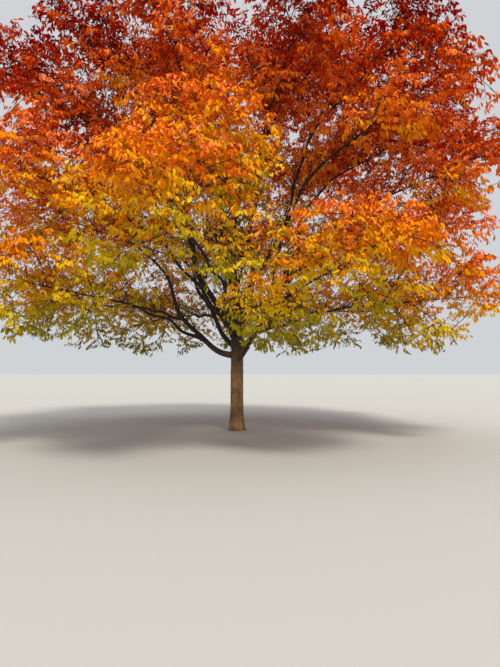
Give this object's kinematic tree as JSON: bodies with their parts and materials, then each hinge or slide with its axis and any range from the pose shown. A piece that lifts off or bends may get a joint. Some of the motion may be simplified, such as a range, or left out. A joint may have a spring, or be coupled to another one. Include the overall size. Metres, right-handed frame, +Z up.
{
  "type": "ornamental cherry tree",
  "caption": "Ornamental cherry tree in autumn leaf, with a short straight trunk, ascending boughs and a broad domed crown of separate masses of foliage.",
  "frame": {"origin": "middle of the flat cut under the trunk, at ground level", "axes": "+Z up along the trunk; the picture looks along +Y at the tree's -Y side, with +X on its right"},
  "size_m": [12.6221, 12.7774, 9.9132],
  "materials": {
    "bark": "rough bark",
    "leaf_gold": "matt leaf",
    "leaf_amber": "matt leaf",
    "leaf_orange": "matt leaf",
    "leaf_red": "matt leaf"
  },
  "bodies": {
    "root": {"trunk": "bark", "bough_top_right": "bark", "bough_top_left": "bark", "bough_upper_left": "bark", "bough_front": "bark", "bough_left": "bark", "bough_front_right": "bark", "bough_mid_back": "bark", "bough_mid_back_right": "bark", "bough_mid_back_left": "bark", "bough_low_left": "bark", "bough_low_front_left": "bark", "bough_low_front_right": "bark", "bough_low_right": "bark", "bough_low_back_right": "bark", "bough_low_back": "bark", "bough_low_back_left": "bark", "bough_mid_front_left": "bark", "bough_mid_front": "bark", "bough_mid_front_right": "bark", "bough_right": "bark", "bough_far_right": "bark", "bough_upper_front_left": "bark", "bough_upper_front_right": "bark", "bough_upper_right": "bark", "bough_upper_back_right": "bark", "bough_upper_back_left": "bark", "bough_upper_back": "bark", "bough_high_left": "bark", "bough_high_right": "bark", "foliage_top_right": "leaf_red", "foliage_top_left": "leaf_red", "foliage_upper_left": "leaf_orange", "foliage_front": "leaf_amber", "foliage_left": "leaf_amber", "foliage_front_right": "leaf_gold", "foliage_mid_back": "leaf_amber", "foliage_mid_back_right": "leaf_amber", "foliage_mid_back_left": "leaf_amber", "foliage_low_left": "leaf_gold", "foliage_low_front_left": "leaf_gold", "foliage_low_front_right": "leaf_gold", "foliage_low_right": "leaf_gold", "foliage_low_back_right": "leaf_gold", "foliage_low_back": "leaf_gold", "foliage_low_back_left": "leaf_gold", "foliage_mid_front_left": "leaf_amber", "foliage_mid_front": "leaf_amber", "foliage_mid_front_right": "leaf_orange", "foliage_right": "leaf_amber", "foliage_far_right": "leaf_amber", "foliage_upper_front_left": "leaf_orange", "foliage_upper_front_right": "leaf_orange", "foliage_upper_right": "leaf_orange", "foliage_upper_back_right": "leaf_orange", "foliage_upper_back_left": "leaf_orange", "foliage_upper_back": "leaf_orange", "foliage_high_left": "leaf_red", "foliage_high_right": "leaf_red"}
  },
  "joints": []
}
